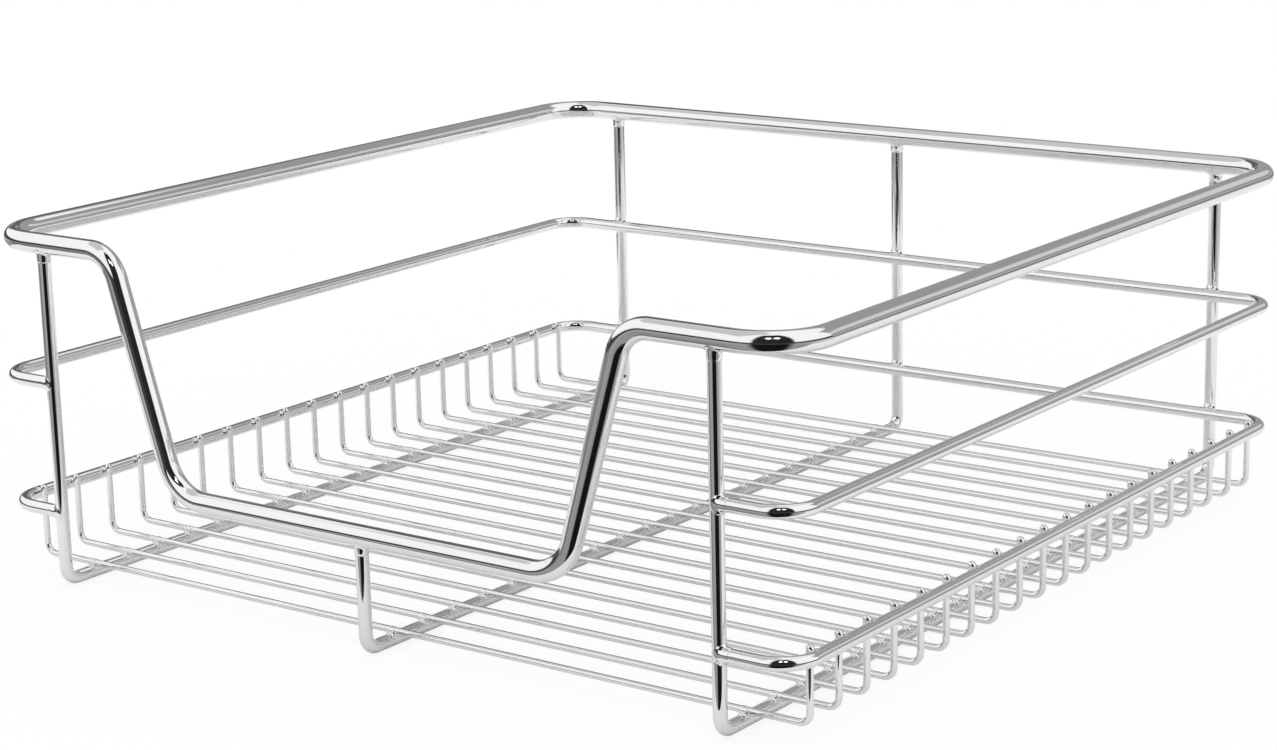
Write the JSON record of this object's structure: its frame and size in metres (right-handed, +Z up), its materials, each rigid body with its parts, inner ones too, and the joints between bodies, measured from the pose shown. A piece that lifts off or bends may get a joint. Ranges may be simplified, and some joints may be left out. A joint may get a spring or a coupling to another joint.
{
  "type": "pull out cabinet basket",
  "caption": "Pull out cabinet basket of bent chrome rods: a thick rim that dips low in front, side rails, U-shaped bearers and a floor of cross wires.",
  "frame": {"origin": "on the ground under the middle of the basket, half way between its sides and half way between its front and back", "axes": "+Z up; the open, dipped front faces -Y; +X is to the right, seen from the front"},
  "size_m": [0.45, 0.45, 0.168],
  "materials": {
    "chrome_plating": "bright chrome plating on steel rod"
  },
  "bodies": {
    "root": {"rim": "chrome_plating", "mid_rail": "chrome_plating", "lower_rail": "chrome_plating", "bearer_left": "chrome_plating", "bearer_centre": "chrome_plating", "bearer_right": "chrome_plating", "cross_wire_01": "chrome_plating", "cross_wire_02": "chrome_plating", "cross_wire_03": "chrome_plating", "cross_wire_04": "chrome_plating", "cross_wire_05": "chrome_plating", "cross_wire_06": "chrome_plating", "cross_wire_07": "chrome_plating", "cross_wire_08": "chrome_plating", "cross_wire_09": "chrome_plating", "cross_wire_10": "chrome_plating", "cross_wire_11": "chrome_plating", "cross_wire_12": "chrome_plating", "cross_wire_13": "chrome_plating", "cross_wire_14": "chrome_plating", "cross_wire_15": "chrome_plating", "cross_wire_16": "chrome_plating", "cross_wire_17": "chrome_plating", "cross_wire_18": "chrome_plating", "cross_wire_19": "chrome_plating", "cross_wire_20": "chrome_plating"}
  },
  "joints": []
}
